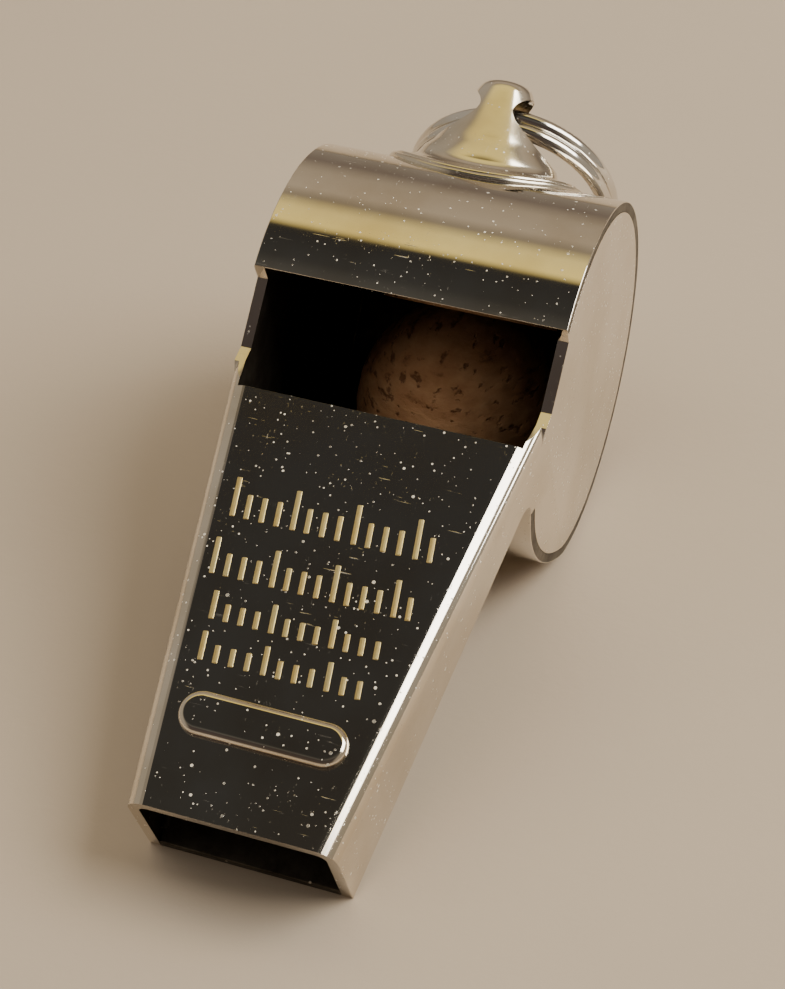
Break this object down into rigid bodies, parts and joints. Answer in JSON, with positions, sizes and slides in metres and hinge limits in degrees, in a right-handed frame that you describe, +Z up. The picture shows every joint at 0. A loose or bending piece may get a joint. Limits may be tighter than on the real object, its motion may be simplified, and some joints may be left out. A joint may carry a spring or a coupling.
{
  "type": "pea whistle",
  "caption": "Nickel-plated folded-sheet pea whistle: tapered mouthpiece, round barrel with a sound window, loose cork pea, lanyard stud and split ring.",
  "frame": {"origin": "centre of the footprint on the table that the whistle lies on", "axes": "+X towards the right cheek, +Y from the mouth towards the barrel and ring, +Z up; the whistle rests on its barrel and the lower edge of its mouth, nose down about 21 degrees"},
  "size_m": [0.0176, 0.0474, 0.022],
  "materials": {
    "plated_sheet": "bright nickel plate",
    "plated_stud": "bright nickel plate",
    "solder": "plated-over solder",
    "ring_wire": "plated spring wire",
    "cork": "natural cork"
  },
  "bodies": {
    "whistle": {"body_shell": "plated_sheet", "barrel_band": "plated_sheet", "windway_floor": "plated_sheet", "lanyard_stud": "plated_stud", "stud_solder": "solder", "left_cheek_solder": "solder", "right_cheek_solder": "solder", "left_floor_solder": "solder", "right_floor_solder": "solder"},
    "ring": {"split_ring": "ring_wire"},
    "pea": {"cork_pea": "cork"}
  },
  "joints": [
    {"name": "ring_swing", "type": "hinge", "parent": "whistle", "child": "ring", "pos_m": [0, 0.0199, 0.01968], "axis": [1, 0, 0], "range_deg": [0, 239]},
    {"name": "pea_orbit", "type": "hinge", "parent": "whistle", "child": "pea", "pos_m": [0, 0.0098, 0.0105], "axis": [1, 0, 0], "continuous": true}
  ]
}
